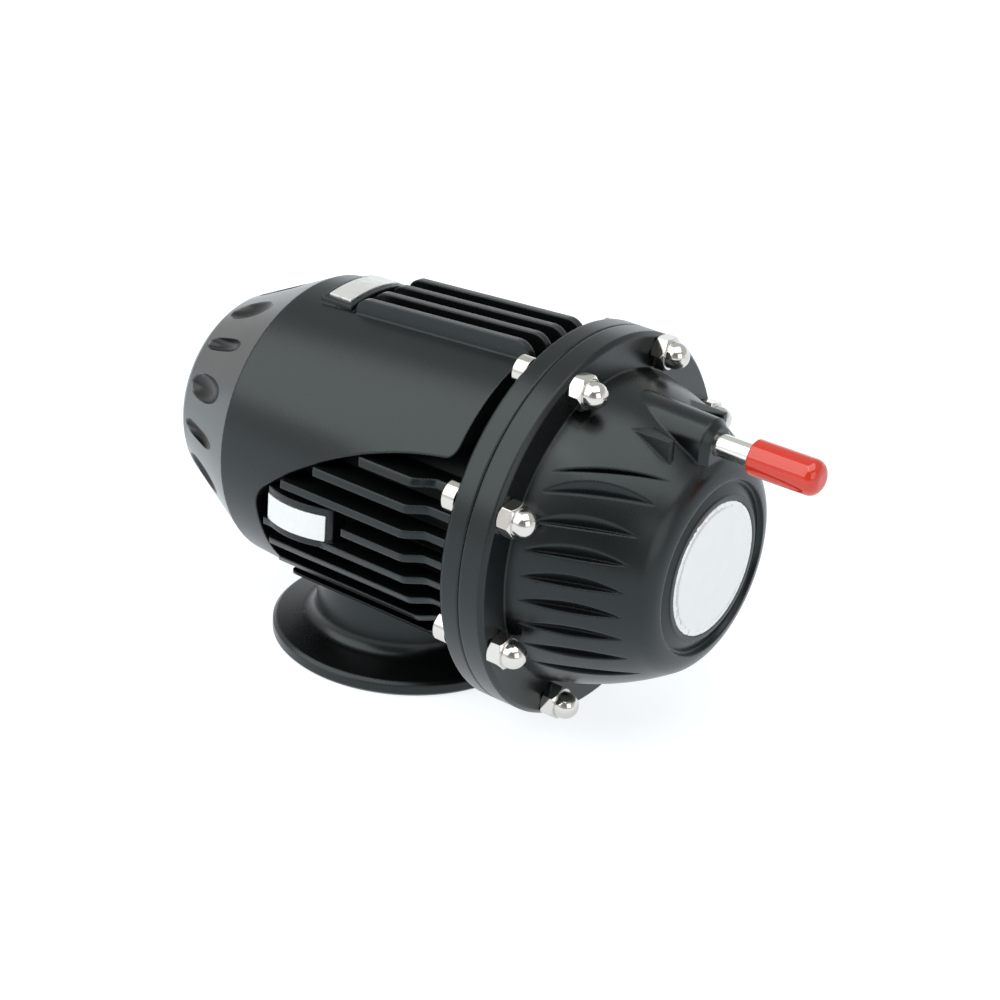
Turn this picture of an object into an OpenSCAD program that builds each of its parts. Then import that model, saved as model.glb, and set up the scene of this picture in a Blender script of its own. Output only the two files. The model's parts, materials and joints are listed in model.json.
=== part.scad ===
// Pull-type blow off valve with a two-stage valve inside.
// The base face is z = 0, the main axis runs along X, and the diaphragm cover is at +X.

/* [Body] */
// Height of the main axis above the base face
axis_h = 46.7; // [46:0.1:50]
// Where the body meets the nose ring, along the axis
body_front_x = -28.8; // [-30:0.1:-28]
// Radius of the body at the nose ring
body_front_r = 34.5; // [34:0.1:36]
// Where the smooth panel ends, along the axis
panel_end_x = 35.2; // [34:0.1:36]
// Step from the flange's edge down to the smooth panel
panel_inset = 5.8; // [5.2:0.1:6.4]
// Radius of the floor between the ribs
floor_r = 30.2; // [30.1:0.1:31.5]
// Wall of the body under that floor
core_wall = 3.4; // [3:0.1:4]

/* [Clamped flanges] */
// Plane where the body and the cover meet
seam_x = 47; // [46.5:0.1:48]
// Outer radius of both flanges
flange_r = 44; // [43.8:0.1:46]
// Thickness of the body's flange
body_flange_t = 5.2; // [4.8:0.1:5.6]
// Thickness of the cover's flange
cover_flange_t = 6.1; // [5.5:0.1:6.5]
// Distance of the bolt circle from the flanges' edge
bolt_inset = 3.8; // [3.6:0.1:4]
// Thread size of the cover bolts
bolt_d = 4; // [3.5:0.1:4]
// Width of the dome nuts across their flats
nut_af = 7; // [6:0.1:7]

/* [Side windows] */
// Radius of the arched upper edge of a side window
arch_r = 94.4; // [93:0.1:96]
// Centre of that arch along the axis
arch_x = 47; // [45:0.1:49]
// Centre of that arch from the axis
arch_z = -73.1; // [-74:0.1:-72]
// Front end of a side window
window_x = -18.1; // [-18.6:0.1:-17.6]
// Thickness of a rib
rib_w = 1.8; // [1.6:0.1:2]
// Height of the uppermost side rib from the axis
rib_top_z = 13; // [12.5:0.1:13.5]
// Spacing of the side ribs
rib_pitch = 5.76; // [5.6:0.02:5.8]
// Share of a rib's height that steps away ahead of the bolt heads
rib_cut = 0.44; // [0.4:0.01:0.5]

/* [Top block] */
// Spacing of the top ribs
top_pitch = 6.2; // [6:0.1:6.5]
// Height of the top ribs from the axis, at their front end
top_rib_z = 37.7; // [37.2:0.1:38.2]
// Rise of the top ribs towards the flange
top_rise = 3.8; // [3:0.2:4.4]

/* [Plates] */
// Length of a name plate, left bare
plate_l = 16.8; // [15:0.1:17]
// Width of a name plate
plate_w = 6.2; // [5.5:0.1:6.5]
// Thickness of a name plate
plate_t = 0.8; // [0.6:0.1:1]
// Bend radius of the plate on the side
plate_bend_r = 19.6; // [18:0.1:22]

/* [Base] */
// Radius of the base flange
base_r = 31.7; // [31:0.1:32.5]
// Thickness of the base flange at its rim
base_rim_t = 3.6; // [3.4:0.1:4]
// Radius of the neck
neck_r = 21.5; // [20.5:0.1:22]
// Radius of the inlet bore
inlet_r = 15; // [14:0.1:15.5]

/* [Nose] */
// Length of the nose ring ahead of the body
nose_l = 23.2; // [22.5:0.1:24]
// Outer radius of the nose ring at its mouth
nose_tip_r = 23.2; // [22.8:0.1:23.6]
// Radius of the mouth
mouth_r = 19.4; // [19:0.1:20]
// Length of the scoops in the nose ring, along the axis
scoop_l = 14.4; // [13.5:0.1:15]
// Cross radius of the wide scoops
wide_scoop_r = 3.9; // [3.5:0.1:4.2]
// Cross radius of the narrow scoops
narrow_scoop_r = 1.8; // [1.6:0.1:2]
// Depth of the scoops
scoop_d = 1.9; // [1.6:0.1:2.1]

/* [Cover] */
// Depth of the cover from the seam to the front of its badge
cover_depth = 34.7; // [34:0.1:36]
// Step from the flange's edge to the foot of the dome
dome_inset = 7.8; // [7.6:0.1:8]
// Radius of the dome at its front lip
lip_r = 25; // [24.5:0.1:25.5]
// Radius of the badge
badge_r = 15.3; // [14.5:0.1:15.8]
// Wall of the cover
cover_wall = 3; // [2.8:0.1:3.2]
// Height of the uppermost flute from the axis
flute_top_z = 19.4; // [19:0.1:19.8]
// Spacing of the flutes on each side of the dome
flute_pitch = 5.75; // [5.6:0.05:5.9]
// Opening of a flute above its valley, per unit of depth
flute_rise = 1.45; // [1.3:0.05:1.6]
// Radius of the wheel that would mill a flute
flute_wheel_r = 70; // [64:0.5:76]

/* [Vacuum nipple] */
// Outer radius of the nipple
nipple_r = 2.5; // [2.4:0.1:2.7]
// Bore radius of the nipple
nipple_bore_r = 1.5; // [1.3:0.1:1.6]
// Distance of the nipple from the main axis
nipple_offset = 28.4; // [28.2:0.1:28.8]
// Length of the nipple ahead of its boss
nipple_out = 22; // [21:0.1:22.3]
// Radius of the boss round the nipple, near its front end
boss_round_r = 5.2; // [5:0.1:5.5]
// Outer radius of the dust cap
cap_r = 3.95; // [3.8:0.1:4.2]
// Length of the dust cap
cap_l = 16.1; // [15.8:0.1:17.5]

/* [Valve train] */
// Radius of the valve shaft
shaft_r = 4; // [3.8:0.1:4.2]
// Radius of the threaded ends of the shaft
shaft_end_r = 3; // [2.8:0.1:3.1]
// Radius of the opening in the valve seat
seat_r = 19; // [18.5:0.1:19.5]
// Radius of the secondary valve
secondary_r = 23; // [22.5:0.1:23.5]
// Opening that the primary valve closes
primary_port_r = 9; // [8.5:0.1:9.3]
// Radius of the primary valve
primary_r = 11.6; // [11.4:0.1:11.9]
// Travel of the primary valve before it picks up the secondary
primary_travel = 3; // [2.5:0.1:3.2]
// Travel of the secondary valve
secondary_travel = 5; // [4:0.1:5]
// Wall between the diaphragm's rim and the bolt holes
rim_wall = 1.55; // [1.4:0.05:1.8]
// Thickness of the diaphragm
diaphragm_t = 1; // [0.8:0.1:1.2]

/* [Clearances] */
// Radial clearance of a running fit
run_clear = 0.03; // [0.02:0.01:0.05]
// Clearance of a fastener in its hole
bolt_clear = 0.25; // [0.2:0.05:0.3]
// Gap left between a seal and its seat
seat_gap = 0.05; // [0.03:0.01:0.08]
// Clearance of a piece that is set into another
set_clear = 0.04; // [0.02:0.01:0.06]

/* [Hidden] */
$fn = 96;
eps = 0.01;
bolt_count = 8;
bolt_step = 360 / bolt_count;
first_bolt_a = bolt_step / 2;

bolt_circle_r = flange_r - bolt_inset;
panel_end_r = flange_r - panel_inset;
dome_r = flange_r - dome_inset;
body_slope = (panel_end_r - body_front_r) / (panel_end_x - body_front_x);
flange_rear_x = seam_x - body_flange_t;
cover_face_x = seam_x + cover_flange_t;
core_r = floor_r - core_wall;
function panel_r(x) = body_front_r + body_slope * (x - body_front_x);

// Side ribs
rib_count = 8;
rib_gap = 0.8;
rib_front_gap = 3.3;
rib_drop = 1.2;
rib_r = panel_end_r - rib_drop;
rib_step = rib_cut * (rib_r - floor_r);
rib_tip_r = 1.4;
rib_tip_past = 0.4;
rib_tip_lap = 0.06;
rib_step_x = 25.5;
rib_step_l = 5;
rib_end_x = flange_rear_x + 1;
function rib_z(k) = rib_top_z - k * rib_pitch;
function arch_x_at(z) = arch_x - sqrt(arch_r ^ 2 - (z - arch_z) ^ 2);
function rib_start(z) = max(window_x + rib_front_gap, arch_x_at(z + rib_w / 2) + rib_gap);
function rib_y(z) = -sqrt(rib_r ^ 2 - z ^ 2);

// Plates and their seats
rib_count_above_plate = 3;
plate_x = -4.8;
plate_drop = 1.5;
plate_z = rib_z(rib_count_above_plate) - plate_drop;
plate_sink = 0.4;
plate_proud = 0.5;
plate_top_y = -rib_r - plate_proud;
seat_lip = 1.7;
seat_margin = 1.4;
seat_set_in = 0.3;
behind_plate_gap = 3.8;
behind_plate_x = plate_x + plate_l / 2 + seat_margin + behind_plate_gap;
top_plate_x = -17.4;
top_plate_proud = 1.5;
top_plate_r = panel_r(top_plate_x) + top_plate_proud;
top_start_x = -11.4;
top_end_x = 37;
top_front_r = 3.4;
top_rear_r = 4;
top_half_w = 1.5 * top_pitch + rib_w / 2;

// Nose, seat and valves
spigot_l = 3.8;
spigot_r = body_front_r - 4.6;
insert_rim_t = 0.8;
pocket_x = body_front_x + spigot_l + insert_rim_t + set_clear;
seat_wall = 5.2;
seat_x = pocket_x + seat_wall;
seal_t = 0.8;
secondary_x = seat_x + seat_gap + seal_t;
secondary_t = 3;
hub_l = 4.5;
hub_r = 5.6;
hub_x = secondary_x + secondary_t - 0.6 - hub_l;
primary_x = secondary_x + secondary_t + seat_gap + seal_t;
primary_t = 3.2;
clip_t = 0.9;
clip_x = hub_x - primary_travel - 0.25 - clip_t;
partition_x = 15;
partition_t = 5;
bush_l = 12;
bush_r = shaft_r + 2.5;
bush_x = partition_x - 3;
boss_r = bush_r + 3;
shaft_seal_t = 2.4;
shaft_seal_r = bush_r + 0.6;

// Diaphragm and its plates: at rest the middle hangs back by the whole travel
diaphragm_r = bolt_circle_r - bolt_d / 2 - bolt_clear - rim_wall;
diaphragm_x = seam_x - diaphragm_t;
full_lift = primary_travel + secondary_travel;
middle_x = diaphragm_x - full_lift;
clamp_r = diaphragm_r - 3.4;
plate_r = 23;
backing_t = 1.6;
shoulder_x = middle_x - backing_t - 2 * eps;
cup_t = 1.6;
cup_rim_r = 16.8;
cup_rim_h = 3;
cup_x = middle_x + diaphragm_t + 2 * eps;
washer_x = cup_x + cup_t + eps;
washer_t = 1.2;
washer_r = 6.2;
lock_nut_x = washer_x + washer_t + eps;
lock_nut_h = 5;
lock_nut_af = 10;
shaft_tip_x = lock_nut_x + lock_nut_h + 1.4;
stop_gap = 0.4;
stop_r = 5;
stop_x = shaft_tip_x + full_lift + stop_gap;

// Cover
front_x = seam_x + cover_depth;
badge_t = 0.8;
lip_x = front_x - 3;
dome_arc_r = 70;
cover_end_x = front_x - 4.6;
inner_rear_r = clamp_r;
inner_front_r = lip_r - cover_wall - 0.8;
groove_in_r = badge_r + 1.3;
groove_out_r = badge_r + 4.6;
groove_d = 1.2;
boss_x = seam_x + 3;
boss_end_x = front_x - 2.3;
boss_rear_r = boss_round_r + 1.2;
boss_edge = 1.5;
nipple_in = 8;
bare_tube_l = 8.6;
cap_x = boss_end_x + bare_tube_l;
blank_z = 30.6;
blank_far_y = -5.2;
blank_near_y = -11.8;
blank_end_x = front_x - 7.4;

// Flutes
flute_count = 8;
flute_rear_x = cover_face_x + 2.8;
flute_tip_x = lip_x - 2.2;
flute_fall = 0.2;
flute_foot = 0.8;
crease_z = flute_top_z + 3.7;
crease_rise = 0.4;
crease_wheel_r = 110;

// Springs
main_wire_r = 1;
main_coil_r = 14;
main_turns = 6;
second_wire_r = 0.8;
second_coil_r = 17;
second_turns = 5;

// Centre of a circle of radius r through p and q, on the right hand side of the way from p to q
function arc_centre(p, q, r) =
    let (d = q - p, l = norm(d), n = [d[1], -d[0]] / l)
    (p + q) / 2 + n * sqrt(r ^ 2 - l ^ 2 / 4);

bolt_nodes = [for (k = [1:bolt_count]) str("cover_bolt_", k)];
nut_nodes = [for (k = [1:bolt_count]) str("dome_nut_", k)];

// Turn a shape made along Z so that it lies along the main axis
module on_axis() {
    translate([0, 0, axis_h]) rotate([0, 90, 0]) children();
}

// Place a shape at an angle round the main axis, measured from the top towards +Y
module at_angle(a) {
    translate([0, 0, axis_h]) rotate([-a, 0, 0]) children();
}

// Turned shape from [radius, x] points
module turned(points) {
    on_axis() rotate_extrude() polygon(points);
}

// Turned ring between two radii, from x to x + l
module ring(r_in, r_out, x, l) {
    turned([[r_in, x], [r_out, x], [r_out, x + l], [r_in, x + l]]);
}

// Solid bar along the main axis
module bar(r, x, l) {
    translate([x, 0, axis_h]) rotate([0, 90, 0]) cylinder(r = r, h = l);
}

// Round bar between two points in a level plane, with a ball at its start
module rod(a, b, r) {
    d = b - a;
    translate([a[0], a[1], 0]) {
        sphere(r = r + eps, $fn = 32);
        rotate([0, 0, atan2(d[1], d[0])]) rotate([0, 90, 0]) cylinder(r = r, h = norm(d), $fn = 32);
    }
}

// Path of a round-edged milling wheel that enters at p and leaves at q, its centre to the right
module wheel_cut(p, q, wheel_r, edge_r) {
    translate(arc_centre(p, q, wheel_r)) rotate_extrude($fn = 120)
        translate([wheel_r - edge_r, 0]) circle(r = edge_r, $fn = 48);
}

// The same with a lopsided V edge, which opens along a surface that leans by the angle lean
module keen_wheel_cut(p, q, wheel_r, rise, fall, lean) {
    d = wheel_r / 12;
    translate(arc_centre(p, q, wheel_r)) rotate_extrude($fn = 120)
        translate([wheel_r, 0]) rotate(-lean) polygon([[0, 0], [-d, rise * d], [-d, -fall * d]]);
}

// Coil with its axis along the main axis
module coil(coil_r, wire_r, x, l, turns) {
    steps = 22;
    sides = 8;
    n = turns * steps;
    lift = l - 2 * wire_r;
    points = [for (i = [0:n], j = [0:sides - 1])
        let (a = i * 360 / steps, b = j * 360 / sides, r = coil_r + wire_r * cos(b))
        [x + wire_r + lift * i / n + wire_r * sin(b), r * sin(a), axis_h + r * cos(a)]];
    walls = [for (i = [0:n - 1], j = [0:sides - 1])
        let (k = (j + 1) % sides)
        [i * sides + j, i * sides + k, (i + 1) * sides + k, (i + 1) * sides + j]];
    start = [for (j = [sides - 1:-1:0]) j];
    finish = [for (j = [0:sides - 1]) n * sides + j];
    polyhedron(points, concat(walls, [start, finish]), convexity = 10);
}

// Outline of a side window, x across and height from the axis upwards
module window_outline() {
    round_r = 9;
    round_past = 0.05;
    round_x = window_x + round_r;
    round_d = arch_r - round_r + round_past;
    round_z = arch_z + sqrt(round_d ^ 2 - (round_x - arch_x) ^ 2);
    meet_x = arch_x + (round_x - arch_x) * arch_r / round_d;
    corner_r = 3;
    corner_z = arch_z + sqrt((arch_r + corner_r) ^ 2 - (panel_end_x - corner_r - arch_x) ^ 2);
    reach = 2 * flange_r;
    intersection() {
        translate([arch_x, arch_z]) circle(r = arch_r, $fn = 240);
        translate([meet_x, -reach]) square([reach, 2 * reach]);
    }
    translate([window_x, -reach]) square([round_r, reach + round_z]);
    translate([round_x, round_z]) circle(r = round_r);
    difference() {
        translate([panel_end_x - corner_r, corner_z - 8]) square([corner_r + 1, 8]);
        translate([panel_end_x - corner_r, corner_z]) circle(r = corner_r);
    }
}

// Smooth outer skin of the body, open at the windows and under the top ribs
module panel() {
    reach = 2 * flange_r;
    difference() {
        turned([[0, body_front_x], [body_front_r, body_front_x], [panel_end_r, panel_end_x],
            [0, panel_end_x]]);
        translate([0, reach, axis_h]) rotate([90, 0, 0]) linear_extrude(2 * reach) window_outline();
        translate([top_plate_x, -top_half_w, axis_h + core_r]) cube([reach, 2 * top_half_w, reach]);
    }
}

// Turned outline that trims the side ribs, with a soft step in ahead of the bolt heads
module rib_envelope() {
    bends = 8;
    step = [for (i = [0:bends]) let (t = i / bends)
        [rib_r - rib_step * t ^ 2 * (3 - 2 * t), rib_step_x + rib_step_l * t]];
    turned(concat([[0, body_front_x], [rib_r, body_front_x]], step,
        [[rib_r - rib_step, rib_end_x], [0, rib_end_x]]));
}

// One flat rib before it is trimmed, with a rounded front corner
module rib_slab(z, start) {
    crest = rib_y(z) - rib_tip_past;
    round_x = start + rib_tip_r;
    translate([0, 0, axis_h + z]) linear_extrude(rib_w, center = true) {
        translate([round_x, -2 * flange_r]) square([rib_end_x - round_x, 2 * flange_r]);
        translate([round_x, crest + rib_tip_r]) circle(r = rib_tip_r + rib_tip_lap);
        translate([start, crest + rib_tip_r]) square([rib_tip_r + eps, -crest - rib_tip_r]);
    }
}

module side_ribs(plate) {
    for (k = [0:rib_count - 1]) {
        z = rib_z(k);
        intersection() {
            rib_envelope();
            rib_slab(z, plate && k == rib_count_above_plate ? behind_plate_x : rib_start(z));
        }
    }
}

// Bowed outline of the side plate's seat or face, seen from above
module bowed(r, x, l) {
    intersection() {
        translate([plate_x, plate_top_y + plate_bend_r]) circle(r = r, $fn = 180);
        translate([x, -2 * flange_r]) square([l, 2 * flange_r - core_r]);
    }
}

// Seat of the side plate, between two ribs
module side_plate_seat() {
    seat_h = plate_w + 2 * seat_lip;
    translate([0, 0, axis_h + plate_z - seat_h / 2]) linear_extrude(seat_h)
        bowed(plate_bend_r - seat_set_in, plate_x - plate_l / 2 - seat_set_in,
            plate_l + seat_set_in + seat_margin);
}

// Ribs on top, on a line that rises towards the flange, with rounded ends
module top_rib(y) {
    run = (top_end_x - top_start_x) / cos(top_rise);
    root = 11;
    translate([top_start_x, y, axis_h + top_rib_z]) rotate([0, -top_rise, 0])
        rotate([90, 0, 0]) linear_extrude(rib_w, center = true) {
            translate([top_front_r, -root]) square([run - top_front_r - top_rear_r, root]);
            translate([top_front_r, -top_front_r]) circle(r = top_front_r);
            translate([0, -root]) square([top_front_r + eps, root - top_front_r]);
            translate([run - top_rear_r, -top_rear_r]) circle(r = top_rear_r);
            translate([run - top_rear_r - eps, -root]) square([top_rear_r + eps, root - top_rear_r]);
        }
}

// Seat of the top plate, ahead of the top ribs and bent with the barrel
module top_plate_seat() {
    start_x = top_plate_x - plate_w / 2 - seat_margin;
    half_w = plate_l / 2 + seat_margin;
    bridge_r = panel_r(top_start_x) - 2 * seat_set_in;
    intersection() {
        ring(core_r, top_plate_r - plate_t + plate_sink, start_x, plate_w + 2 * seat_margin);
        translate([body_front_x, -half_w, axis_h]) cube([flange_r, 2 * half_w, 2 * flange_r]);
    }
    intersection() {
        ring(core_r, bridge_r, top_plate_x - 1, top_start_x - top_plate_x + top_front_r + 1);
        translate([body_front_x, -top_half_w - 1, axis_h]) cube([flange_r, 2 * top_half_w + 2, 2 * flange_r]);
    }
}

// Neck and base flange, turned about the vertical axis of the inlet
module base() {
    neck_top_z = axis_h - sqrt(floor_r ^ 2 - neck_r ^ 2) + core_wall / 2;
    fillet_r = 3.4;
    shoulder_z = base_rim_t + 1.1;
    rotate_extrude() difference() {
        union() {
            polygon([[0, 0], [base_r - 0.8, 0], [base_r, 0.8], [base_r, base_rim_t - 0.8],
                [base_r - 0.8, base_rim_t], [neck_r + fillet_r, shoulder_z], [0, shoulder_z]]);
            translate([0, shoulder_z - 0.5]) square([neck_r, neck_top_z - shoulder_z + 0.5]);
            translate([neck_r - 1, shoulder_z - 0.5]) square([fillet_r + 1, fillet_r + 0.5]);
        }
        translate([neck_r + fillet_r, shoulder_z + fillet_r]) circle(r = fillet_r);
    }
}

module body_flange() {
    c = 0.8;
    turned([[0, flange_rear_x], [flange_r - c, flange_rear_x], [flange_r, flange_rear_x + c],
        [flange_r, seam_x - 0.3], [flange_r - 0.3, seam_x], [0, seam_x]]);
}

// Spaces inside the body: outlet pocket, seat opening, inlet chamber and diaphragm chamber
module body_cavities() {
    bar(spigot_r, body_front_x - 1, pocket_x - body_front_x + 1);
    bar(seat_r, pocket_x - 1, seat_wall + 2);
    bar(core_r, seat_x, partition_x - seat_x);
    turned([[0, partition_x + partition_t], [core_r, partition_x + partition_t],
        [core_r, flange_rear_x - 5], [clamp_r, flange_rear_x], [clamp_r, diaphragm_x],
        [diaphragm_r + set_clear, diaphragm_x], [diaphragm_r + set_clear, seam_x + 1], [0, seam_x + 1]]);
}

module bolt_holes(x, l) {
    for (k = [0:bolt_count - 1]) at_angle(first_bolt_a + k * bolt_step)
        translate([x, 0, bolt_circle_r]) rotate([0, 90, 0]) cylinder(r = bolt_d / 2 + bolt_clear, h = l);
}

module body_casting() {
    color("#26282a") difference() {
        union() {
            difference() {
                union() {
                    bar(floor_r, body_front_x, seam_x - body_front_x - 1);
                    panel();
                    body_flange();
                    side_ribs(true);
                    mirror([0, 1, 0]) side_ribs(false);
                    side_plate_seat();
                    for (k = [-1.5:1:1.5]) top_rib(k * top_pitch);
                    top_plate_seat();
                    base();
                }
                body_cavities();
            }
            bar(boss_r, bush_x - 1, bush_l + shaft_seal_t + 2.5);
        }
        translate([0, 0, -1]) cylinder(r = inlet_r, h = axis_h - boss_r);
        bar(bush_r, bush_x - 2, bush_l + 2);
        bar(shaft_seal_r, bush_x + bush_l - eps, bush_l);
        bolt_holes(flange_rear_x - 1, body_flange_t + 2);
        side_plate_pocket();
        top_plate_pocket();
    }
}

// Bowed bare plate in its shallow pocket on the side
module side_plate_block(grow, r_in, r_out) {
    translate([0, 0, axis_h + plate_z - plate_w / 2 - grow]) linear_extrude(plate_w + 2 * grow) difference() {
        bowed(r_out, plate_x - plate_l / 2 - grow, plate_l + 2 * grow);
        translate([plate_x, plate_top_y + plate_bend_r]) circle(r = r_in, $fn = 180);
    }
}

module side_plate_pocket() {
    side_plate_block(set_clear, plate_bend_r - plate_t - set_clear, plate_bend_r + plate_w);
}

module side_plate() {
    color("#e9ebec") side_plate_block(0, plate_bend_r - plate_t, plate_bend_r);
}

// Bare plate in its shallow pocket on top, bent with the barrel
module top_plate_block(grow, r_in, r_out) {
    intersection() {
        ring(r_in, r_out, top_plate_x - plate_w / 2 - grow, plate_w + 2 * grow);
        translate([top_plate_x - plate_w, -plate_l / 2 - grow, axis_h])
            cube([2 * plate_w, plate_l + 2 * grow, 2 * flange_r]);
    }
}

module top_plate_pocket() {
    top_plate_block(set_clear, top_plate_r - plate_t - set_clear, top_plate_r + plate_w);
}

module top_plate() {
    color("#e9ebec") top_plate_block(0, top_plate_r - plate_t, top_plate_r);
}

// Tapered ring with alternating wide and narrow scoops, open at the mouth
module nose_ring() {
    tip_x = body_front_x - nose_l;
    bore_r = mouth_r + 4.2;
    lean = (body_front_r - nose_tip_r - 0.9) / (nose_l - 1.4);
    rear = [body_front_x - 6, body_front_r - 6 * lean];
    front = [rear[0] - scoop_l, rear[1] - scoop_l * lean];
    half_l = norm(rear - front) / 2;
    wheel_r = (half_l ^ 2 + scoop_d ^ 2) / (2 * scoop_d);
    color("#3a3d40") difference() {
        turned([[bore_r, body_front_x + spigot_l], [spigot_r - set_clear, body_front_x + spigot_l],
            [spigot_r - set_clear, body_front_x], [body_front_r, body_front_x],
            [nose_tip_r + 0.9, tip_x + 1.4], [nose_tip_r, tip_x + 0.3], [nose_tip_r - 0.8, tip_x],
            [mouth_r + 0.6, tip_x], [mouth_r, tip_x + 0.6], [mouth_r, tip_x + 2.6],
            [bore_r, body_front_x - 6]]);
        for (k = [0:15]) at_angle(k * 22.5) rotate([90, 0, 0])
            wheel_cut(rear, front, wheel_r, k % 2 == 1 ? wide_scoop_r : narrow_scoop_r);
    }
}

// Trumpet that leads the air from the valve seat to the mouth
module outlet_insert() {
    wall = 1.4;
    rim_x = pocket_x - set_clear - insert_rim_t;
    end_x = body_front_x - nose_l + 1.6;
    throat_x = rim_x - 9;
    throat_r = seat_r - 3;
    end_r = mouth_r - 0.3 - wall;
    color("#3c3e40") turned([[seat_r, pocket_x - set_clear], [spigot_r - 0.5, pocket_x - set_clear],
        [spigot_r - 0.5, rim_x], [seat_r + wall, rim_x], [throat_r + wall, throat_x],
        [end_r + wall, end_x], [end_r, end_x], [throat_r, throat_x]]);
}

// Curved outer profile of the cover's dome, with a soft lip and a groove round the badge
module dome_profile() {
    base_p = [dome_r, cover_face_x - 1];
    lip_p = [lip_r, lip_x];
    c = arc_centre(lip_p, base_p, dome_arc_r);
    slope = (lip_p - c) / dome_arc_r;
    top_x = front_x - 0.1;
    round_r = (top_x - lip_x) / (1 - slope[1]);
    round_c = lip_p - round_r * slope;
    intersection() {
        polygon([[0, seam_x + 1], [2 * flange_r, seam_x + 1], [2 * flange_r, lip_x], [0, lip_x]]);
        translate(c) circle(r = dome_arc_r, $fn = 240);
    }
    difference() {
        union() {
            translate([0, lip_x - 1]) square([round_c[0] + eps, top_x - lip_x + 1]);
            intersection() {
                translate(round_c) circle(r = round_r, $fn = 120);
                translate([round_c[0], lip_x - eps]) square(2 * round_r);
            }
        }
        polygon([[groove_in_r, front_x + 1], [groove_in_r, top_x - 0.2], [groove_out_r - 0.8, top_x - groove_d],
            [groove_out_r - 0.4, top_x - groove_d], [groove_out_r, top_x - 0.3], [groove_out_r, front_x + 1]]);
    }
}

function dome_at(x) =
    let (base_p = [dome_r, cover_face_x - 1], lip_p = [lip_r, lip_x], c = arc_centre(lip_p, base_p, dome_arc_r))
    c[0] + sqrt(dome_arc_r ^ 2 - (x - c[1]) ^ 2);
function dome_point(x, z) = [x, -sqrt(dome_at(x) ^ 2 - z ^ 2)];

// Level flutes on one side of the dome, pointed at both ends, and a crease above them
module flutes() {
    mid_x = (flute_rear_x + flute_tip_x) / 2;
    intersection() {
        union() {
            for (k = [0:flute_count - 1]) {
                z = flute_top_z - k * flute_pitch;
                translate([0, 0, axis_h + z])
                    keen_wheel_cut(dome_point(flute_rear_x, z), dome_point(flute_tip_x, z),
                        flute_wheel_r, flute_rise, flute_fall, asin(z / dome_at(mid_x)));
            }
            translate([0, 0, axis_h + crease_z])
                keen_wheel_cut(dome_point(flute_rear_x, crease_z), dome_point(flute_tip_x, crease_z),
                    crease_wheel_r, crease_rise, flute_fall, asin(crease_z / dome_at(mid_x)));
        }
        translate([cover_face_x + flute_foot, -3 * flange_r, 0])
            cube([cover_depth, 3 * flange_r - nipple_r, 2 * (axis_h + flange_r)]);
    }
}

// Place a shape made along Z on the nipple's own axis
module at_nipple(x) {
    translate([x, 0, axis_h + nipple_offset]) rotate([0, 90, 0]) children();
}

// Boss that carries the nipple, round on top and tapered to its front
module nipple_boss() {
    l = boss_end_x - boss_x;
    at_nipple(boss_x) rotate_extrude() polygon([[0, 0], [boss_rear_r, 0], [boss_round_r, l - boss_edge],
        [boss_round_r - boss_edge, l], [0, l]]);
    translate([boss_x, 0, axis_h]) linear_extrude(nipple_offset)
        polygon([[0, -boss_rear_r], [l - boss_edge, -boss_round_r], [l, boss_edge - boss_round_r],
            [l, boss_round_r - boss_edge], [l - boss_edge, boss_round_r], [0, boss_rear_r]]);
}

// Short pointed blank boss beside it
module blank_boss() {
    translate([0, 0, axis_h]) linear_extrude(blank_z)
        polygon([[boss_x, blank_near_y], [blank_end_x, blank_near_y + 1], [blank_end_x, blank_near_y + 2.4],
            [blank_end_x - 12, blank_far_y], [boss_x, blank_far_y]]);
}

module cover_cavity() {
    turned([[0, seam_x - 1], [inner_rear_r, seam_x - 1], [inner_rear_r, seam_x + 4],
        [inner_front_r, lip_x - 5], [inner_front_r - 2, cover_end_x], [0, cover_end_x]]);
}

// Cover with a post inside that stops the shaft at the end of its travel
module diaphragm_cover() {
    c = 0.9;
    color("#222426") union() {
        difference() {
            union() {
                turned([[0, seam_x], [flange_r - 0.3, seam_x], [flange_r, seam_x + 0.3],
                    [flange_r, cover_face_x - c], [flange_r - c, cover_face_x], [0, cover_face_x]]);
                on_axis() rotate_extrude() dome_profile();
                nipple_boss();
                blank_boss();
                mirror([0, 1, 0]) blank_boss();
            }
            cover_cavity();
            flutes();
            mirror([0, 1, 0]) flutes();
            bolt_holes(seam_x - 1, cover_flange_t + 2);
            bar(badge_r + set_clear, front_x - badge_t - set_clear, cover_wall);
            at_nipple(boss_end_x - nipple_in) cylinder(r = nipple_r, h = nipple_in + 1);
            at_nipple(boss_end_x - 2 * nipple_in) cylinder(r = nipple_bore_r, h = nipple_in + 1);
        }
        bar(stop_r, stop_x, cover_end_x - stop_x + 1);
    }
}

module cover_badge() {
    color("#eceeef") turned([[0, front_x - badge_t], [badge_r, front_x - badge_t],
        [badge_r, front_x - 0.2], [badge_r - 0.2, front_x], [0, front_x]]);
}

module vacuum_nipple() {
    l = nipple_in + nipple_out;
    color("#c9c6bd") at_nipple(boss_end_x - nipple_in) difference() {
        cylinder(r = nipple_r, h = l);
        translate([0, 0, -1]) cylinder(r = nipple_bore_r, h = l + 2);
    }
}

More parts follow.
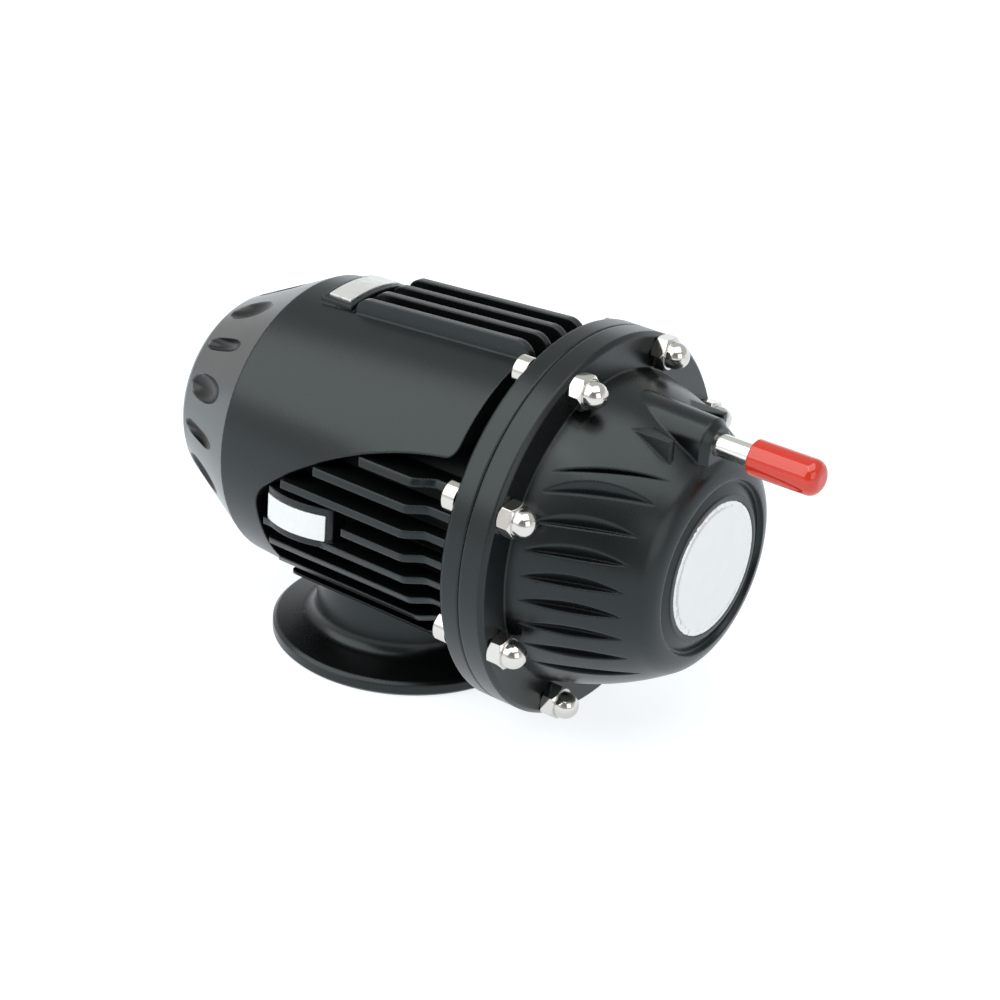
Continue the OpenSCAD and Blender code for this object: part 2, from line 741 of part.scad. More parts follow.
module dust_cap() {
    end_r = 2.6;
    rim_r = 0.4;
    depth = nipple_out - bare_tube_l + 0.3;
    color("#c8141c") at_nipple(cap_x) difference() {
        rotate_extrude() union() {
            square([cap_r - rim_r, cap_l - end_r]);
            translate([0, rim_r]) square([cap_r, cap_l - end_r - rim_r]);
            translate([cap_r - rim_r, rim_r]) circle(r = rim_r);
            square([cap_r - end_r, cap_l]);
            translate([cap_r - end_r, cap_l - end_r]) intersection() {
                circle(r = end_r);
                square(end_r + 1);
            }
        }
        translate([0, 0, -1]) cylinder(r = nipple_r + run_clear, h = depth + 1);
    }
}

module shaft_bush() {
    color("#b08d4c") ring(shaft_r + run_clear, bush_r, bush_x, bush_l);
}

module shaft_seal() {
    color("#1a1a1a") ring(shaft_r + run_clear, shaft_seal_r, bush_x + bush_l + eps, shaft_seal_t);
}

module valve_shaft() {
    clip_d = 0.5;
    color("#9a9da0") turned([[0, clip_x - 1.2], [shaft_end_r - 0.4, clip_x - 1.2],
        [shaft_end_r, clip_x - 0.8], [shaft_end_r, clip_x - eps], [shaft_end_r - clip_d, clip_x - eps],
        [shaft_end_r - clip_d, clip_x + clip_t + eps], [shaft_end_r, clip_x + clip_t + eps],
        [shaft_end_r, primary_x + primary_t], [shaft_r, primary_x + primary_t], [shaft_r, shoulder_x],
        [shaft_end_r, shoulder_x], [shaft_end_r, shaft_tip_x - 0.5], [shaft_end_r - 0.5, shaft_tip_x],
        [0, shaft_tip_x]]);
}

module primary_valve() {
    color("#a8abad") turned([[shaft_end_r, primary_x], [primary_r, primary_x],
        [primary_r, primary_x + primary_t - 1], [primary_r - 3, primary_x + primary_t],
        [shaft_end_r, primary_x + primary_t]]);
}

module primary_seal() {
    color("#1c1c1c") ring(primary_port_r + 0.4, primary_r - 0.2, primary_x - seal_t, seal_t);
}

// Disc with a ported middle and a hub that slides on the shaft
module secondary_valve() {
    rear_x = secondary_x + secondary_t;
    arm_w = 3;
    color("#a8abad") union() {
        ring(primary_port_r, secondary_r, secondary_x, secondary_t);
        ring(shaft_end_r + run_clear, hub_r, hub_x, hub_l);
        for (a = [0, 120, 240]) at_angle(a)
            translate([rear_x - 2.6, -arm_w / 2, hub_r - 1]) cube([2, arm_w, primary_port_r - hub_r + 1.5]);
    }
}

module secondary_seal() {
    color("#1c1c1c") ring(seat_r + 0.5, secondary_r - 0.3, secondary_x - seal_t, seal_t);
}

module secondary_spring() {
    rear_x = secondary_x + secondary_t;
    color("#8d9093")
        coil(second_coil_r, second_wire_r, rear_x + eps, partition_x - rear_x - 2 * eps, second_turns);
}

// Open ring that snaps into the groove at the end of the shaft
module retaining_clip() {
    color("#5c5e60") difference() {
        ring(shaft_end_r - 0.5 + eps, shaft_end_r + 1.5, clip_x, clip_t);
        translate([clip_x - 1, -1.4, axis_h]) cube([clip_t + 2, 2.8, 8]);
    }
}

// Rubber top hat, clamped at its rim, its middle gripped between the plates
module diaphragm() {
    hole_r = shaft_end_r + run_clear;
    fold_r = plate_r + 1.6;
    rim_fold_r = clamp_r - 0.8;
    color("#1b1c1d") turned([[hole_r, middle_x], [fold_r, middle_x], [rim_fold_r, diaphragm_x],
        [diaphragm_r, diaphragm_x], [diaphragm_r, seam_x], [rim_fold_r - 0.6, seam_x],
        [fold_r - 0.6, middle_x + diaphragm_t], [hole_r, middle_x + diaphragm_t]]);
}

module backing_plate() {
    color("#b9bcbe") ring(shaft_end_r + run_clear, plate_r, middle_x - backing_t - eps, backing_t);
}

module spring_cup() {
    color("#b9bcbe") turned([[shaft_end_r + run_clear, cup_x], [plate_r, cup_x], [plate_r, cup_x + cup_t],
        [cup_rim_r + cup_t, cup_x + cup_t], [cup_rim_r + cup_t, cup_x + cup_t + cup_rim_h],
        [cup_rim_r, cup_x + cup_t + cup_rim_h], [cup_rim_r, cup_x + cup_t],
        [shaft_end_r + run_clear, cup_x + cup_t]]);
}

module plate_washer() {
    color("#c4c6c8") ring(shaft_end_r + run_clear, washer_r, washer_x, washer_t);
}

module lock_nut() {
    corner_r = lock_nut_af / cos(30) / 2;
    face_r = lock_nut_af / 2 + 0.1;
    end_x = lock_nut_x + lock_nut_h;
    chamfer = 0.6;
    color("#c4c6c8") difference() {
        intersection() {
            translate([lock_nut_x, 0, axis_h]) rotate([0, 90, 0])
                cylinder(r = corner_r, h = lock_nut_h, $fn = 6);
            turned([[0, lock_nut_x], [face_r, lock_nut_x], [corner_r + 0.1, lock_nut_x + chamfer],
                [corner_r + 0.1, end_x - chamfer], [face_r, end_x], [0, end_x]]);
        }
        bar(shaft_end_r, lock_nut_x - 1, lock_nut_h + 2);
    }
}

module main_spring() {
    seat = cup_x + cup_t;
    color("#8d9093") coil(main_coil_r, main_wire_r, seat + eps, cover_end_x - seat - 2 * eps, main_turns);
}

// Socket head bolt through both flanges, head behind the body's flange
module cover_bolt(k) {
    head_r = 3.4;
    head_h = 3.6;
    l = body_flange_t + cover_flange_t;
    color("#d9dadb") at_angle(first_bolt_a + (k - 1) * bolt_step)
        translate([flange_rear_x - eps, 0, bolt_circle_r]) rotate([0, 90, 0]) difference() {
            union() {
                cylinder(r = bolt_d / 2, h = l + 4);
                rotate_extrude() polygon([[0, 0], [head_r, 0], [head_r, 0.5 - head_h],
                    [head_r - 0.5, -head_h], [0, -head_h]]);
            }
            translate([0, 0, -head_h - 1]) cylinder(d = 3.4, h = 3, $fn = 6);
        }
}

// Hexagon nut with a closed dome over the bolt's end
module dome_nut(k) {
    hex_h = 3.4;
    dome_r = nut_af / 2 - 0.5;
    dome_z = 4.4;
    color("#dcdddd") at_angle(first_bolt_a + (k - 1) * bolt_step)
        translate([cover_face_x + eps, 0, bolt_circle_r]) rotate([0, 90, 0]) difference() {
            union() {
                intersection() {
                    rotate([0, 0, 12 + 37 * k]) cylinder(d = nut_af / cos(30), h = hex_h, $fn = 6);
                    rotate_extrude() polygon([[0, 0], [nut_af / 2, 0], [nut_af / cos(30) / 2 + 0.05, 0.5],
                        [nut_af / cos(30) / 2 + 0.05, hex_h - 0.6], [nut_af / 2 - 0.1, hex_h], [0, hex_h]]);
                }
                cylinder(r = dome_r, h = dome_z);
                translate([0, 0, dome_z]) sphere(r = dome_r);
            }
            translate([0, 0, -1]) cylinder(r = bolt_d / 2, h = 1 + 4.3);
        }
}

body_casting();
nose_ring();
outlet_insert();
diaphragm_cover();
cover_badge();
top_plate();
side_plate();
vacuum_nipple();
dust_cap();
shaft_bush();
shaft_seal();
valve_shaft();
primary_valve();
primary_seal();
secondary_valve();
secondary_seal();
secondary_spring();
retaining_clip();
diaphragm();
backing_plate();
spring_cup();
plate_washer();
lock_nut();
main_spring();
for (k = [1:bolt_count]) {
    cover_bolt(k);
    dome_nut(k);
}
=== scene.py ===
import json
import math
import bpy
import bmesh
from mathutils import Matrix, Vector


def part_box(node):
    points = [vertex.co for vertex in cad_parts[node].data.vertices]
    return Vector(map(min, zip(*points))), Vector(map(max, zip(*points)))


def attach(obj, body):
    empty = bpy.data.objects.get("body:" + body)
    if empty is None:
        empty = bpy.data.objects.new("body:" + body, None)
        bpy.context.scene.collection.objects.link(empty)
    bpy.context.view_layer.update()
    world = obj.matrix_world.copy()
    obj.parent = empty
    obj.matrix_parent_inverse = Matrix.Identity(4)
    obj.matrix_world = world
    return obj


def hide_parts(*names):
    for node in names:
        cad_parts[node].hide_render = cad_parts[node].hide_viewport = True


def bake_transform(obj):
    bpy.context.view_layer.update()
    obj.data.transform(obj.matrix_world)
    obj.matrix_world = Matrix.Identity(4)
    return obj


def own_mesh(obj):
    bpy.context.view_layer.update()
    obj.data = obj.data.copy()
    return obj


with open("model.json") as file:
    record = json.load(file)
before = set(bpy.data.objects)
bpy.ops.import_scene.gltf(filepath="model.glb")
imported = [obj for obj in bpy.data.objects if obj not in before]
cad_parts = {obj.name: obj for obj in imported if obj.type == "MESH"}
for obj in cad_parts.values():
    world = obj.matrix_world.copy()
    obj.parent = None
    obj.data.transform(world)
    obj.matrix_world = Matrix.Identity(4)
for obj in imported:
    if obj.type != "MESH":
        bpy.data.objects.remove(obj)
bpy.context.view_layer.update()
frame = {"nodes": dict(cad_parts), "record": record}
nodes = frame["nodes"]
mm = 0.001
print("frame loaded:", len(nodes), "nodes")


class Wire:  # one output socket, with operators that add Math nodes

    def __init__(self, tree, socket):
        self.tree = tree
        self.socket = socket

    def node(self, kind, settings=None, values=None, out=0):
        made = self.tree.nodes.new(kind)
        for name, value in (settings or {}).items():
            if name == "stops":
                ramp = made.color_ramp.elements
                while len(ramp) < len(value):
                    ramp.new(0.5)
                for element, (place, colour) in zip(ramp, value):
                    element.position = place
                    element.color = (*colour, 1.0) if len(colour) == 3 else colour
            else:
                setattr(made, name, value)
        for name, value in (values or {}).items():
            if isinstance(value, Wire):
                self.tree.links.new(value.socket, made.inputs[name])
            else:
                made.inputs[name].default_value = value
        return Wire(self.tree, made.outputs[out]) if len(made.outputs) else None

    def other(self, out):  # another output of the same node
        return Wire(self.tree, self.socket.node.outputs[out])

    def maths(self, operation, first, second=0.0):
        return self.node("ShaderNodeMath", {"operation": operation}, {0: first, 1: second})

    def __add__(self, value):
        return self.maths("ADD", self, value)

    def __radd__(self, value):
        return self.maths("ADD", value, self)

    def __sub__(self, value):
        return self.maths("SUBTRACT", self, value)

    def __rsub__(self, value):
        return self.maths("SUBTRACT", value, self)

    def __mul__(self, value):
        return self.maths("MULTIPLY", self, value)

    def __rmul__(self, value):
        return self.maths("MULTIPLY", value, self)

    def __pow__(self, value):
        return self.maths("POWER", self, value)

    def __rpow__(self, value):
        return self.maths("POWER", value, self)

    def mixed(self, low, high):  # this value blends two colours
        return self.node("ShaderNodeMix", {"data_type": "RGBA"}, {0: self, 6: low, 7: high}, out=2)

    def softStep(self, low, high):  # 0 up to low, 1 from high, and smooth between
        return self.node("ShaderNodeMapRange", {"interpolation_type": "SMOOTHSTEP"},
                         {"Value": self, "From Min": low, "From Max": high})


def newMaterial(name):
    material = bpy.data.materials.new(name)
    material.use_nodes = True
    material.node_tree.nodes.clear()
    tree = material.node_tree
    coords = tree.nodes.new("ShaderNodeTexCoord")
    return material, Wire(tree, coords.outputs["Object"])


def noise(place, scale, detail=3.0, roughness=0.55):
    return place.node("ShaderNodeTexNoise", {"noise_dimensions": "3D"},
                      {"Vector": place, "Scale": scale, "Detail": detail, "Roughness": roughness})


def principled(place, values):
    return place.node("ShaderNodeBsdfPrincipled", None, values)


def surface(place, shader):
    place.node("ShaderNodeOutputMaterial", None, {"Surface": shader})


def twoSurfaces(place, mask, first, second):
    surface(place, place.node("ShaderNodeMixShader", None, {0: mask, 1: first, 2: second}))


def roundedNormal(place, radius, height, strength, depth):  # edges catch light like cast ones
    bevel = place.node("ShaderNodeBevel", {"samples": 6}, {"Radius": radius})
    return place.node("ShaderNodeBump", None, {"Strength": strength, "Distance": depth,
                                               "Height": height, "Normal": bevel})


axisZ = (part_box("valve_shaft")[0].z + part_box("valve_shaft")[1].z) / 2  # height of the valve's own axis


def aroundAxis(place):  # place along the valve's axis, and distance from it
    x = place.node("ShaderNodeSeparateXYZ", None, {"Vector": place})
    return x, (x.other("Y") ** 2.0 + (x.other("Z") - axisZ) ** 2.0) ** 0.5


castingFinish = {"dark": (0.0024, 0.0030, 0.0030, 1), "light": (0.0040, 0.0050, 0.0049, 1),
                 "sheen": (0.83, 0.93, 0.94, 1), "gloss": 0.46, "roughness": 0.28,
                 "cloud": 60, "cloudSpread": 0.06, "grain": 2600, "grainSpread": 0.04,
                 "edge": 0.70 * mm, "bump": 0.025, "bumpDepth": 0.06 * mm,
                 "panelX": -28.8 * mm, "panelR": 34.5 * mm, "panelLean": 0.0578,
                 "ribR": 37.0 * mm, "ribStep": 2.98 * mm, "stepX": (25.5 * mm, 30.5 * mm), "seamX": 41.0 * mm,
                 # recess entries: the painted-shade copy for the faces sunk between the ribs
                 "recess": (0.9 * mm, 2.2 * mm), "paintedShadeGloss": 0.10,
                 "recessRoughness": 0.42, "recessSpread": 0.08}


def castingBlack():  # satin black paint; the faces down between the ribs get a duller, darker copy as painted shade
    s = castingFinish
    material, place = newMaterial("castingBlack")
    cloud = noise(place, s["cloud"], 4.0)
    grain = noise(place, s["grain"], 2.0, 0.6)
    x, fromAxis = aroundAxis(place)
    panelR = (x - s["panelX"]) * s["panelLean"] + s["panelR"]
    crest = x.maths("MINIMUM", panelR, s["ribR"]) - x.softStep(*s["stepX"]) * s["ribStep"]
    # painted shade: faces sunk below the rib crests, ahead of the seam, take the darker copy
    between = (crest - fromAxis).softStep(*s["recess"]) * x.maths("LESS_THAN", x, s["seamX"])
    shared = {"Specular Tint": s["sheen"], "Base Color": cloud.mixed(s["dark"], s["light"]),
              "Normal": roundedNormal(place, s["edge"], grain, s["bump"], s["bumpDepth"])}
    outside = principled(place, {
        **shared, "Specular IOR Level": s["gloss"],
        "Roughness": s["roughness"] + (cloud - 0.5) * s["cloudSpread"] + (grain - 0.5) * s["grainSpread"]})
    # painted-shade copy: weak reflection and rougher, so the rib recesses read dark
    shadedCopy = principled(place, {
        **shared, "Specular IOR Level": s["paintedShadeGloss"],
        "Roughness": s["recessRoughness"] + (grain - 0.5) * s["recessSpread"]})
    twoSurfaces(place, between, outside, shadedCopy)
    return material


noseFinish = {"dark": (0.0080, 0.0092, 0.0100, 1), "light": (0.0130, 0.0145, 0.0155, 1),
              "tint": (0.95, 0.99, 0.98, 1), "gloss": 1.0, "roughness": 0.19, "spread": 0.06,
              "cloud": 45, "grain": 2400, "edge": 0.16 * mm, "bump": 0.04, "bumpDepth": 0.03 * mm,
              "coneX": -28.8 * mm, "coneR": 34.5 * mm, "coneLean": 0.477, "scoop": (0.10 * mm, 0.35 * mm),
              # scoop entries: painted shade inside the scoops, with a rougher milled finish
              "scoopShadeColour": (0.0040, 0.0046, 0.0048, 1), "scoopShadeGloss": 0.34,
              "scoopRoughness": 0.24, "scoopSpread": 0.10}


def noseSatin():  # black anodised alloy that mirrors its surroundings at a low angle; the scoops get painted shade (darker colour, weak reflection) and a rougher milled finish
    s = noseFinish
    material, place = newMaterial("noseSatin")
    cloud = noise(place, s["cloud"], 3.0)
    grain = noise(place, s["grain"], 2.0)
    normal = roundedNormal(place, s["edge"], grain, s["bump"], s["bumpDepth"])
    x, fromAxis = aroundAxis(place)
    scoop = ((x - s["coneX"]) * s["coneLean"] + s["coneR"] - fromAxis).softStep(*s["scoop"])
    cone = principled(place, {
        "Specular IOR Level": s["gloss"], "Specular Tint": s["tint"],
        "Base Color": cloud.mixed(s["dark"], s["light"]),
        "Roughness": s["roughness"] + (grain - 0.5) * s["spread"], "Normal": normal})
    # painted shade: the scoops' darker colour and weak reflection stand in for the shade in their hollows; the
    # higher roughness is the milled cut
    scoopShade = principled(place, {
        "Specular IOR Level": s["scoopShadeGloss"], "Base Color": s["scoopShadeColour"],
        "Roughness": s["scoopRoughness"] + (grain - 0.5) * s["scoopSpread"], "Normal": normal})
    twoSurfaces(place, scoop, cone, scoopShade)
    return material


metalLook = {"stain": 0.12, "stainShade": 0.88, "bumpDepth": 0.03 * mm}  # stains are coarser than the grain


def metal(name, colour, roughness, spread=0.08, grain=900, edge=0.2 * mm, bump=0.05):
    s = metalLook
    material, place = newMaterial(name)
    fine = noise(place, grain, 3.0)
    stain = noise(place, grain * s["stain"], 2.0)
    shaded = tuple(c * s["stainShade"] for c in colour)
    surface(place, principled(place, {
        "Metallic": 1.0, "Base Color": stain.mixed((*shaded, 1), (*colour, 1)),
        "Roughness": roughness + (fine - 0.5) * spread,
        "Normal": roundedNormal(place, edge, fine, bump, s["bumpDepth"])}))
    return material


coatedLook = {"patch": 0.06, "spread": 0.12, "bumpDepth": 0.05 * mm}  # patches are coarser than the grain


def coated(name, dark, light, roughness, grain, bump, edge=0.25 * mm, plain=None):  # plastic, paint and rubber
    s = coatedLook
    material, place = newMaterial(name)
    fine = noise(place, grain, 3.0)
    patch = noise(place, grain * s["patch"], 3.0)
    surface(place, principled(place, {
        **(plain or {}), "Base Color": patch.mixed((*dark, 1), (*light, 1)),
        "Roughness": roughness + (fine - 0.5) * s["spread"],
        "Normal": roundedNormal(place, edge, fine, bump, s["bumpDepth"])}))
    return material


plateFinish = {"low": (0.675, 0.680, 0.660, 1), "high": (0.725, 0.730, 0.710, 1),
               # small entries: a lighter copy of the foil colour for the small plates, as painted light
               "smallLitLow": (0.725, 0.730, 0.707, 1), "smallLitHigh": (0.778, 0.783, 0.760, 1),
               "metallic": 0.75, "roughness": 0.36, "spread": 0.12, "rimPolish": 0.20,
               "brush": 1500, "ripple": 260, "crinkle": 430, "brushHeight": 0.01, "rippleHeight": 0.05,
               "rimHeight": 2.4, "smallHeight": 0.7, "edge": 0.2 * mm, "bump": 0.9, "bumpDepth": 0.40 * mm,
               "badgeX": 70 * mm, "rimR": (13.3 * mm, 14.7 * mm)}


def plateSilver():  # thin pressed foil: flat in the middle, crinkled where the badge's rim is folded over
    s = plateFinish
    material, place = newMaterial("plateSilver")
    brush = noise(place, s["brush"], 2.0)
    ripple = noise(place, s["ripple"], 2.0)
    crinkle = noise(place, s["crinkle"], 1.0)
    x, fromAxis = aroundAxis(place)
    rim = x.maths("GREATER_THAN", x, s["badgeX"]) * fromAxis.softStep(*s["rimR"])
    small = x.maths("LESS_THAN", x, s["badgeX"])
    folds = crinkle * (rim * s["rimHeight"] + small * s["smallHeight"])
    height = ripple * s["rippleHeight"] + brush * s["brushHeight"] + folds
    badgeColour = ripple.mixed(s["low"], s["high"])
    surface(place, principled(place, {
        "Metallic": s["metallic"],
        # painted light: the small plates take the lighter copy of the foil colour
        "Base Color": small.mixed(badgeColour, ripple.mixed(s["smallLitLow"], s["smallLitHigh"])),
        "Roughness": s["roughness"] + (brush - 0.5) * s["spread"] - rim * s["rimPolish"],
        "Normal": roundedNormal(place, s["edge"], height, s["bump"], s["bumpDepth"])}))
    return material


vinylGloss = {"Specular IOR Level": 0.0, "Coat Weight": 1.0, "Coat Roughness": 0.03, "Coat IOR": 1.60}
finishes = {
    "black_casting": castingBlack(),
    "satin_nose": noseSatin(),
    "dark_insert": coated("insertBlack", (0.012, 0.012, 0.013), (0.022, 0.022, 0.024), 0.45, 1800, 0.1),
    "bare_plate": plateSilver(),
    "nickel_tube": metal("tubeNickel", (0.84, 0.828, 0.78), 0.17, spread=0.10, grain=700),
    "red_vinyl": coated("capVinyl", (0.53, 0.018, 0.003), (0.60, 0.028, 0.006), 0.40, 900, 0.04,
                        edge=0.3 * mm, plain=vinylGloss),
    "bronze_bush": metal("bushBronze", (0.55, 0.38, 0.17), 0.34),
    "black_rubber": coated("sealRubber", (0.010, 0.010, 0.010), (0.022, 0.022, 0.022), 0.68, 2200, 0.18),
    "steel_shaft": metal("shaftSteel", (0.58, 0.58, 0.59), 0.22),
    "valve_alloy": metal("valveAlloy", (0.68, 0.69, 0.70), 0.32),
    "plate_alloy": metal("pressedAlloy", (0.72, 0.72, 0.73), 0.36),
    "spring_steel": metal("springWire", (0.50, 0.50, 0.51), 0.28),
    "zinc_hardware": metal("zincHardware", (0.66, 0.67, 0.67), 0.30),
    "chrome_fasteners": metal("fastenerChrome", (0.66, 0.635, 0.595), 0.11, spread=0.05, grain=500,
                              edge=0.25 * mm, bump=0.03),
}
slotOf = {part["node"]: part["material_slot"] for part in frame["record"]["subparts"]}
for name, obj in nodes.items():
    obj.data.materials.clear()
    obj.data.materials.append(finishes[slotOf[name]])
print("finishes set on the solids")


def keepPiece(bm, name, slot, body=None):  # closes a bmesh into an object, which rides on a named body
    bmesh.ops.remove_doubles(bm, verts=bm.verts, dist=1e-6)
    bmesh.ops.recalc_face_normals(bm, faces=bm.faces)
    mesh = bpy.data.meshes.new(name)
    bm.to_mesh(mesh)
    bm.free()
    for face in mesh.polygons:
        face.use_smooth = True
    mesh.materials.append(finishes[slot])
    obj = bpy.data.objects.new(name, mesh)
    bpy.context.scene.collection.objects.link(obj)
    if body:
        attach(obj, body)
    return obj


springLook = {"mainCoil": 14.0 * mm, "mainWire": 1.0 * mm, "mainTurns": 6,
              "secondCoil": 17.0 * mm, "secondWire": 0.8 * mm, "secondTurns": 5,
              "turnSteps": 36, "wireSides": 14}


def coil(name, start, end, coilR, wireR, turns, body):  # round wire wound along X
    bm = bmesh.new()
    loop = bmesh.ops.create_circle(bm, segments=springLook["wireSides"], radius=wireR)
    lay = Matrix.Translation((start, 0, axisZ + coilR)) @ Matrix.Rotation(math.pi / 2, 4, "X")
    bmesh.ops.transform(bm, matrix=lay, verts=loop["verts"])
    steps = int(turns * springLook["turnSteps"])
    firstEdges = bm.edges[:]
    made = bmesh.ops.spin(bm, geom=bm.verts[:] + bm.edges[:], cent=(0, 0, axisZ), axis=(1, 0, 0),
                          dvec=((end - start) / steps, 0, 0), angle=turns * 2 * math.pi, steps=steps,
                          use_duplicate=False)
    lastEdges = [e for e in made["geom_last"] if isinstance(e, bmesh.types.BMEdge)]
    for ends in (firstEdges, lastEdges):
        bmesh.ops.holes_fill(bm, edges=ends, sides=0)
    return keepPiece(bm, name, "spring_steel", body)


def springs():
    s = springLook
    low, high = (corner.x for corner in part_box("secondary_spring"))
    lift = {joint["name"]: joint["range_m"][1] for joint in frame["record"]["behaviour"]["joints"]}
    second = coil("secondCoil", low + s["secondWire"], high - s["secondWire"], s["secondCoil"],
                  s["secondWire"], s["secondTurns"], "housing")
    1 - lift["secondary_lift"] / (high - low)
    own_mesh(second)
    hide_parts("secondary_spring")
    low, high = (corner.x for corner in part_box("main_spring"))
    start, end = low + s["mainWire"], high - s["mainWire"]
    middle = (start + end) / 2
    halfTurns = s["mainTurns"] / 2  # the rear half rides on the lifter
    front = coil("mainCoilFront", middle, end, s["mainCoil"], s["mainWire"], halfTurns, "housing")
    1 - lift["secondary_lift"] / (end - middle)
    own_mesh(front)
    rear = coil("mainCoilRear", start, middle, s["mainCoil"], s["mainWire"], halfTurns, "secondary_lifter")
    1 - lift["primary_lift"] / (middle - start)
    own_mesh(rear)
    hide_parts("main_spring")
    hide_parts("main_spring")


springs()
print("springs wound")

diaphragmLook = {"thick": 1.0 * mm, "holeR": 3.05 * mm, "foldR": 24.3 * mm, "rimFoldR": 32.5 * mm,
                 "steps": 28, "sides": 96}


def spunBand(name, line, half):  # closed band of even thickness along a line of (x, r) points
    sides = []
    for i, (x, r) in enumerate(line):
        back, ahead = line[max(i - 1, 0)], line[min(i + 1, len(line) - 1)]
        run = Vector((ahead[0] - back[0], ahead[1] - back[1])).normalized()
        sides.append(((x - run.y * half, r + run.x * half), (x + run.y * half, r - run.x * half)))
    outline = [a for a, _ in sides] + [b for _, b in reversed(sides)]
    bm = bmesh.new()
    ring = [bm.verts.new((x, 0, axisZ + r)) for x, r in outline]
    for i, vert in enumerate(ring):
        bm.edges.new((vert, ring[(i + 1) % len(ring)]))
    bmesh.ops.spin(bm, geom=bm.verts[:] + bm.edges[:], cent=(0, 0, axisZ), axis=(1, 0, 0),
                   angle=2 * math.pi, steps=diaphragmLook["sides"], use_merge=True, use_duplicate=False)
    return keepPiece(bm, name, "black_rubber")


def diaphragm():
    s = diaphragmLook
    low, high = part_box("diaphragm")
    rimR = high.z - axisZ
    half = s["thick"] / 2
    rimX, middleX = high.x - half, low.x + half
    wall = []
    for i in range(s["steps"] + 1):  # soft fold from the clamped rim down to the gripped middle
        t = i / s["steps"]
        r = s["rimFoldR"] + (s["foldR"] - s["rimFoldR"]) * t
        wall.append((rimX + (middleX - rimX) * (t * t * (3 - 2 * t)), r))
    cut = s["steps"] // 2
    outer = spunBand("diaphragmOuter", [(rimX, rimR)] + wall[:cut + 1], half)
    inner = spunBand("diaphragmInner", wall[cut:] + [(middleX, s["holeR"])], half)
    cutX = wall[cut][0]
    rimX - half
    cutX + half
    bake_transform(outer)
    cutX - half
    middleX + half
    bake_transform(inner)
    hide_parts("diaphragm")
    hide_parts("diaphragm")


diaphragm()
print("diaphragm hung")


# place in mm, angles in radians
cameraView = {"place": (294.33, -380.52, 269.14), "yaw": 2.187, "pitch": 0.4513, "roll": 0.0760,
              "focalPx": 2293.4, "imagePx": 1000, "sensor": 36.0, "clip": (0.01, 50)}


def aimCamera():
    s = cameraView
    ahead = Vector((math.cos(s["pitch"]) * math.cos(s["yaw"]), math.cos(s["pitch"]) * math.sin(s["yaw"]),
                    -math.sin(s["pitch"])))
    level = ahead.cross(Vector((0, 0, 1))).normalized()
    upright = level.cross(ahead)
    right = level * math.cos(s["roll"]) + upright * math.sin(s["roll"])
    up = upright * math.cos(s["roll"]) - level * math.sin(s["roll"])
    lens = bpy.data.cameras.new("photoCamera")
    lens.sensor_width = s["sensor"]
    lens.lens = s["focalPx"] / s["imagePx"] * s["sensor"]
    lens.clip_start, lens.clip_end = s["clip"]
    camera = bpy.data.objects.new("photoCamera", lens)
    bpy.context.scene.collection.objects.link(camera)
    turn = Matrix((right, up, -ahead)).transposed().to_4x4()
    camera.matrix_world = Matrix.Translation(Vector(s["place"]) * mm) @ turn
    bpy.context.scene.camera = camera


aimCamera()
print("camera set")


sheetLook = {"colour": (0.38, 0.42, 0.46, 1), "glow": (0.96, 0.985, 1.0, 1), "roughness": 0.9}
floorLook = {"size": 8.0, "glowStrength": 0.84}
backdropLook = {"width": 8.0, "height": 0.8, "behind": 1.9, "glowStrength": 1.0}


def stagePlane(name, width, depth, turn, strength):  # plain white sheet that also lights the object a little
    bm = bmesh.new()
    bmesh.ops.create_grid(bm, x_segments=2, y_segments=2, size=0.5)
    bmesh.ops.transform(bm, matrix=turn @ Matrix.Diagonal((width, depth, 1, 1)), verts=bm.verts)
    mesh = bpy.data.meshes.new(name)
    bm.to_mesh(mesh)
    bm.free()
    sheet = bpy.data.objects.new(name, mesh)
    bpy.context.scene.collection.objects.link(sheet)
    material, place = newMaterial(name)
    surface(place, principled(place, {
        "Base Color": sheetLook["colour"], "Roughness": sheetLook["roughness"], "Specular IOR Level": 0.0,
        "Emission Color": sheetLook["glow"], "Emission Strength": strength}))
    mesh.materials.append(material)


stagePlane("paleFloor", floorLook["size"], floorLook["size"], Matrix.Identity(4), floorLook["glowStrength"])
standUp = Matrix.Translation((0, backdropLook["behind"], backdropLook["height"] / 2))
standUp = standUp @ Matrix.Rotation(math.pi / 2, 4, "X")
stagePlane("paleBackdrop", backdropLook["width"], backdropLook["height"], standUp, backdropLook["glowStrength"])

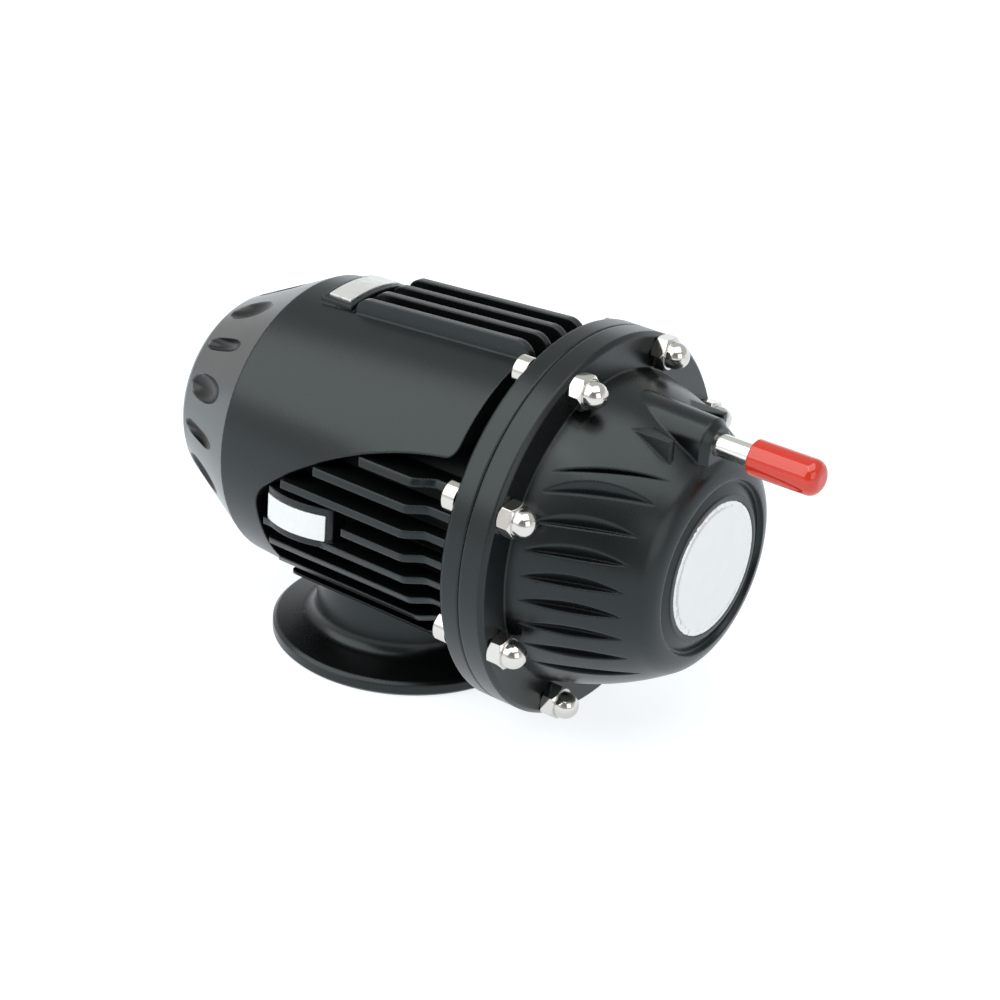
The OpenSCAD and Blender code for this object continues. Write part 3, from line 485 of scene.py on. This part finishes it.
worldLook = {"fill": (0.24, 0.25, 0.25, 1), "seen": (1.0, 1.0, 1.0, 1), "ceiling": (0.66, 0.68, 0.68, 1),
             "haze": (0.08, 0.46), "room": (0.55, -0.74, 0.38), "roomEdge": (0.35, 0.95), "roomDark": 0.65,
             "roomColour": (0.05, 0.05, 0.05, 1)}


def studioWorld():  # white near the ground, a dimmer ceiling, and a darker room on the camera's side
    s = worldLook
    world = bpy.data.worlds.new("studioWorld")
    world.use_nodes = True
    tree = world.node_tree
    tree.nodes.clear()
    paths = tree.nodes.new("ShaderNodeLightPath")
    seen = Wire(tree, paths.outputs["Is Camera Ray"])
    glossy = seen.other("Is Glossy Ray")
    bare = seen.maths("MAXIMUM", seen, seen.other("Is Transmission Ray"))
    way = seen.node("ShaderNodeTexCoord")
    height = way.node("ShaderNodeSeparateXYZ", None, {"Vector": way}).other("Z")
    facing = way.node("ShaderNodeVectorMath", {"operation": "DOT_PRODUCT"}, {0: way, 1: s["room"]}, out="Value")
    room = facing.softStep(*s["roomEdge"]) * s["roomDark"]
    mirrored = room.mixed(height.softStep(*s["haze"]).mixed(s["seen"], s["ceiling"]), s["roomColour"])
    shown = bare.mixed(glossy.mixed(s["fill"], mirrored), s["seen"])
    glow = seen.node("ShaderNodeBackground", None, {"Color": shown, "Strength": 1.0})
    seen.node("ShaderNodeOutputWorld", None, {"Surface": glow})
    bpy.context.scene.world = world


studioWorld()

lamps = {  # name: place, target, size in metres, watts
    "keyBank": ((-0.42, -0.56, 0.72), (0.0, 0.0, 0.05), 1.10, 7.6),
    "overhead": ((0.22, -0.12, 0.95), (0.03, 0.0, 0.04), 0.85, 5.0),
    "rightBank": ((0.85, -0.35, 0.40), (0.05, 0.0, 0.04), 0.60, 1.7),
}


def placeLamps():
    for name, (spot, target, size, watts) in lamps.items():
        light = bpy.data.lights.new(name, "AREA")
        light.shape = "SQUARE"
        light.size = size
        light.energy = watts
        obj = bpy.data.objects.new(name, light)
        bpy.context.scene.collection.objects.link(obj)
        obj.location = spot
        obj.rotation_euler = (Vector(target) - Vector(spot)).to_track_quat("-Z", "Y").to_euler()


placeLamps()
bpy.context.scene.view_settings.view_transform = "Standard"
print("stage lit")
